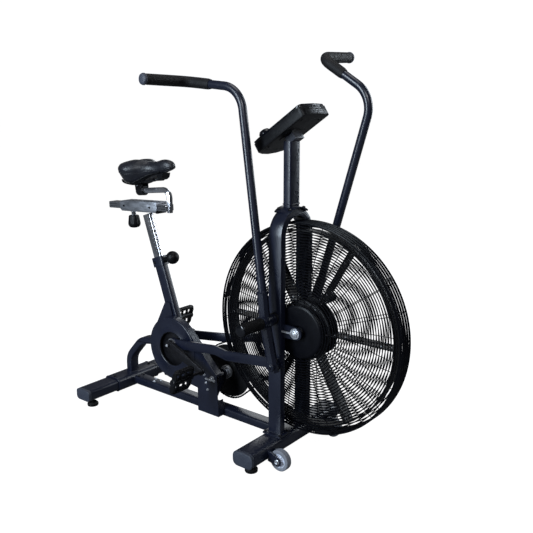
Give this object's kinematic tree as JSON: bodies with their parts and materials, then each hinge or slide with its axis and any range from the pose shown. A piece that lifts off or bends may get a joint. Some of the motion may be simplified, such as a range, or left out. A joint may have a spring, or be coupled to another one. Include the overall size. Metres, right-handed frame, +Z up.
{
  "type": "air bike",
  "caption": "Exercise bike with a large caged fan wheel, swinging arms linked to the cranks, a padded saddle on a sliding post and a tilted console",
  "frame": {"origin": "centre of the footprint's bounding box, on the floor", "axes": "+X from the saddle to the fan, +Y to the rider's left, +Z up"},
  "size_m": [1.301, 0.5958, 1.3169],
  "materials": {
    "main_frame": "satin navy-black powder coat",
    "rear_stabilizer": "satin navy-black powder coat",
    "front_stabilizer": "satin navy-black powder coat",
    "front_fork": "satin navy-black powder coat",
    "console_mast": "satin navy-black powder coat",
    "drive_guard": "satin navy-black powder coat",
    "left_arm": "satin navy-black powder coat",
    "right_arm": "satin navy-black powder coat",
    "left_arm_base": "satin navy-black powder coat",
    "right_arm_base": "satin navy-black powder coat",
    "left_link_rod": "satin navy-black powder coat",
    "right_link_rod": "satin navy-black powder coat",
    "right_grille": "gloss black paint",
    "left_grille": "gloss black paint",
    "cage_rim": "gloss black paint",
    "fan_wheel": "gloss black paint",
    "crankshaft": "black oxide",
    "left_crank_arm": "black oxide",
    "right_crank_arm": "black oxide",
    "chainring": "black oxide",
    "jackshaft_small_sprocket": "black oxide",
    "jackshaft_large_sprocket": "black oxide",
    "fan_sprocket": "black oxide",
    "first_chain": "black oxide",
    "second_chain": "black oxide",
    "left_pivot_axle": "black oxide",
    "right_pivot_axle": "black oxide",
    "saddle_clamp": "black oxide",
    "seat_post": "polished",
    "seat_slider": "polished",
    "jackshaft": "polished",
    "fan_axle": "polished",
    "slider_housing": "satin silver",
    "console_housing": "fine grain",
    "console_face": "fine grain",
    "left_pedal": "fine grain",
    "right_pedal": "fine grain",
    "slider_knob": "fine grain",
    "pull_knob": "fine grain",
    "front_left_foot": "fine grain",
    "front_right_foot": "fine grain",
    "rear_left_foot": "fine grain",
    "rear_right_foot": "fine grain",
    "left_grip_cap": "fine grain",
    "right_grip_cap": "fine grain",
    "front_left_end_cap": "satin",
    "front_right_end_cap": "satin",
    "rear_left_end_cap": "satin",
    "rear_right_end_cap": "satin",
    "start_button": "satin",
    "mode_button": "satin",
    "left_transport_wheel": "satin",
    "right_transport_wheel": "satin",
    "left_foot_peg": "matte",
    "right_foot_peg": "matte",
    "left_grip": "matte",
    "right_grip": "matte",
    "saddle": "black with a soft sheen",
    "display_lens": "clear over a dark screen"
  },
  "bodies": {
    "frame": {"main_frame": "main_frame", "rear_stabilizer": "rear_stabilizer", "front_stabilizer": "front_stabilizer", "front_left_end_cap": "front_left_end_cap", "front_right_end_cap": "front_right_end_cap", "rear_left_end_cap": "rear_left_end_cap", "rear_right_end_cap": "rear_right_end_cap", "front_fork": "front_fork", "console_mast": "console_mast", "console_housing": "console_housing", "console_face": "console_face", "display_lens": "display_lens", "drive_guard": "drive_guard", "fan_axle": "fan_axle", "right_grille": "right_grille", "left_grille": "left_grille", "cage_rim": "cage_rim", "first_chain": "first_chain", "second_chain": "second_chain", "left_pivot_axle": "left_pivot_axle", "right_pivot_axle": "right_pivot_axle", "left_foot_peg": "left_foot_peg", "right_foot_peg": "right_foot_peg"},
    "crank": {"crankshaft": "crankshaft", "left_crank_arm": "left_crank_arm", "right_crank_arm": "right_crank_arm", "chainring": "chainring"},
    "countershaft": {"jackshaft": "jackshaft", "jackshaft_small_sprocket": "jackshaft_small_sprocket", "jackshaft_large_sprocket": "jackshaft_large_sprocket"},
    "fan": {"fan_wheel": "fan_wheel", "fan_sprocket": "fan_sprocket"},
    "seat_height": {"seat_post": "seat_post", "slider_housing": "slider_housing"},
    "seat_fore_aft": {"seat_slider": "seat_slider", "saddle_clamp": "saddle_clamp", "saddle": "saddle"},
    "slider_clamp_knob": {"slider_knob": "slider_knob"},
    "height_pin_knob": {"pull_knob": "pull_knob"},
    "start_key": {"start_button": "start_button"},
    "mode_key": {"mode_button": "mode_button"},
    "right_pedal_body": {"right_pedal": "right_pedal"},
    "right_rod_body": {"right_link_rod": "right_link_rod"},
    "right_arm_body": {"right_arm_base": "right_arm_base", "right_arm": "right_arm", "right_grip": "right_grip", "right_grip_cap": "right_grip_cap"},
    "right_wheel_body": {"right_transport_wheel": "right_transport_wheel"},
    "left_pedal_body": {"left_pedal": "left_pedal"},
    "left_rod_body": {"left_link_rod": "left_link_rod"},
    "left_arm_body": {"left_arm_base": "left_arm_base", "left_arm": "left_arm", "left_grip": "left_grip", "left_grip_cap": "left_grip_cap"},
    "left_wheel_body": {"left_transport_wheel": "left_transport_wheel"},
    "front_right_foot_body": {"front_right_foot": "front_right_foot"},
    "front_left_foot_body": {"front_left_foot": "front_left_foot"},
    "rear_right_foot_body": {"rear_right_foot": "rear_right_foot"},
    "rear_left_foot_body": {"rear_left_foot": "rear_left_foot"}
  },
  "joints": [
    {"name": "crank_spin", "type": "hinge", "parent": "frame", "child": "crank", "pos_m": [-0.2805, 0, 0.256], "axis": [0, 1, 0], "continuous": true},
    {"name": "countershaft_spin", "type": "hinge", "parent": "frame", "child": "countershaft", "pos_m": [-0.09, 0, 0.186], "axis": [0, 1, 0], "continuous": true},
    {"name": "fan_spin", "type": "hinge", "parent": "frame", "child": "fan", "pos_m": [0.3005, 0, 0.444], "axis": [0, 1, 0], "continuous": true},
    {"name": "right_pedal_spin", "type": "hinge", "parent": "crank", "child": "right_pedal_body", "pos_m": [-0.0985, -0.186, 0.222], "axis": [0, 1, 0], "continuous": true},
    {"name": "right_rod_turn", "type": "hinge", "parent": "crank", "child": "right_rod_body", "pos_m": [-0.2567, -0.0725, 0.289], "axis": [0, 1, 0], "continuous": true},
    {"name": "right_arm_swing", "type": "hinge", "parent": "frame", "child": "right_arm_body", "pos_m": [0.226, 0, 0.483], "axis": [0, 1, 0], "range_deg": [0, 26.5]},
    {"name": "right_wheel_roll", "type": "hinge", "parent": "frame", "child": "right_wheel_body", "pos_m": [0.305, -0.151, 0.042], "axis": [0, 1, 0], "continuous": true},
    {"name": "left_pedal_spin", "type": "hinge", "parent": "crank", "child": "left_pedal_body", "pos_m": [-0.4625, 0.186, 0.29], "axis": [0, 1, 0], "continuous": true},
    {"name": "left_rod_turn", "type": "hinge", "parent": "crank", "child": "left_rod_body", "pos_m": [-0.3171, 0.0725, 0.2738], "axis": [0, 1, 0], "continuous": true},
    {"name": "left_arm_swing", "type": "hinge", "parent": "frame", "child": "left_arm_body", "pos_m": [0.226, 0, 0.483], "axis": [0, 1, 0], "range_deg": [-26.5, 0]},
    {"name": "left_wheel_roll", "type": "hinge", "parent": "frame", "child": "left_wheel_body", "pos_m": [0.305, 0.151, 0.042], "axis": [0, 1, 0], "continuous": true},
    {"name": "seat_height_slide", "type": "slide", "parent": "frame", "child": "seat_height", "axis": [-0.3256, 0, 0.9455], "range_m": [-0.08, 0.08]},
    {"name": "seat_fore_aft_slide", "type": "slide", "parent": "seat_height", "child": "seat_fore_aft", "axis": [0.9991, 0, 0.0419], "range_m": [-0.03, 0.045]},
    {"name": "slider_knob_turn", "type": "hinge", "parent": "seat_height", "child": "slider_clamp_knob", "pos_m": [-0.52912, 0, 0.75051], "axis": [-0.0419, 0, 0.9991], "range_deg": [-180, 180]},
    {"name": "pull_knob_slide", "type": "slide", "parent": "frame", "child": "height_pin_knob", "axis": [0.9455, 0, 0.3256], "range_m": [0, 0.012], "stiffness_N_per_m": 800, "springref_m": -0.006},
    {"name": "start_button_press", "type": "slide", "parent": "frame", "child": "start_key", "axis": [0.5548, 0, -0.832], "range_m": [0, 0.0014], "stiffness_N_per_m": 400, "springref_m": -0.001},
    {"name": "mode_button_press", "type": "slide", "parent": "frame", "child": "mode_key", "axis": [0.5548, 0, -0.832], "range_m": [0, 0.0014], "stiffness_N_per_m": 400, "springref_m": -0.001},
    {"name": "front_right_foot_turn", "type": "hinge", "parent": "frame", "child": "front_right_foot_body", "pos_m": [0.2275, -0.205, 0], "axis": [0, 0, 1], "range_deg": [-180, 180]},
    {"name": "front_left_foot_turn", "type": "hinge", "parent": "frame", "child": "front_left_foot_body", "pos_m": [0.2275, 0.205, 0], "axis": [0, 0, 1], "range_deg": [-180, 180]},
    {"name": "rear_right_foot_turn", "type": "hinge", "parent": "frame", "child": "rear_right_foot_body", "pos_m": [-0.5805, -0.205, 0], "axis": [0, 0, 1], "range_deg": [-180, 180]},
    {"name": "rear_left_foot_turn", "type": "hinge", "parent": "frame", "child": "rear_left_foot_body", "pos_m": [-0.5805, 0.205, 0], "axis": [0, 0, 1], "range_deg": [-180, 180]}
  ],
  "couplings": [
    {"joint": "countershaft_spin", "follows": "crank_spin", "ratio": 3.5203},
    {"joint": "fan_spin", "follows": "crank_spin", "ratio": 8.2562},
    {"joint": "right_rod_turn", "follows": "crank_spin", "ratio": -1},
    {"joint": "left_rod_turn", "follows": "crank_spin", "ratio": -1},
    {"joint": "left_arm_swing", "follows": "right_arm_swing", "ratio": -1}
  ]
}
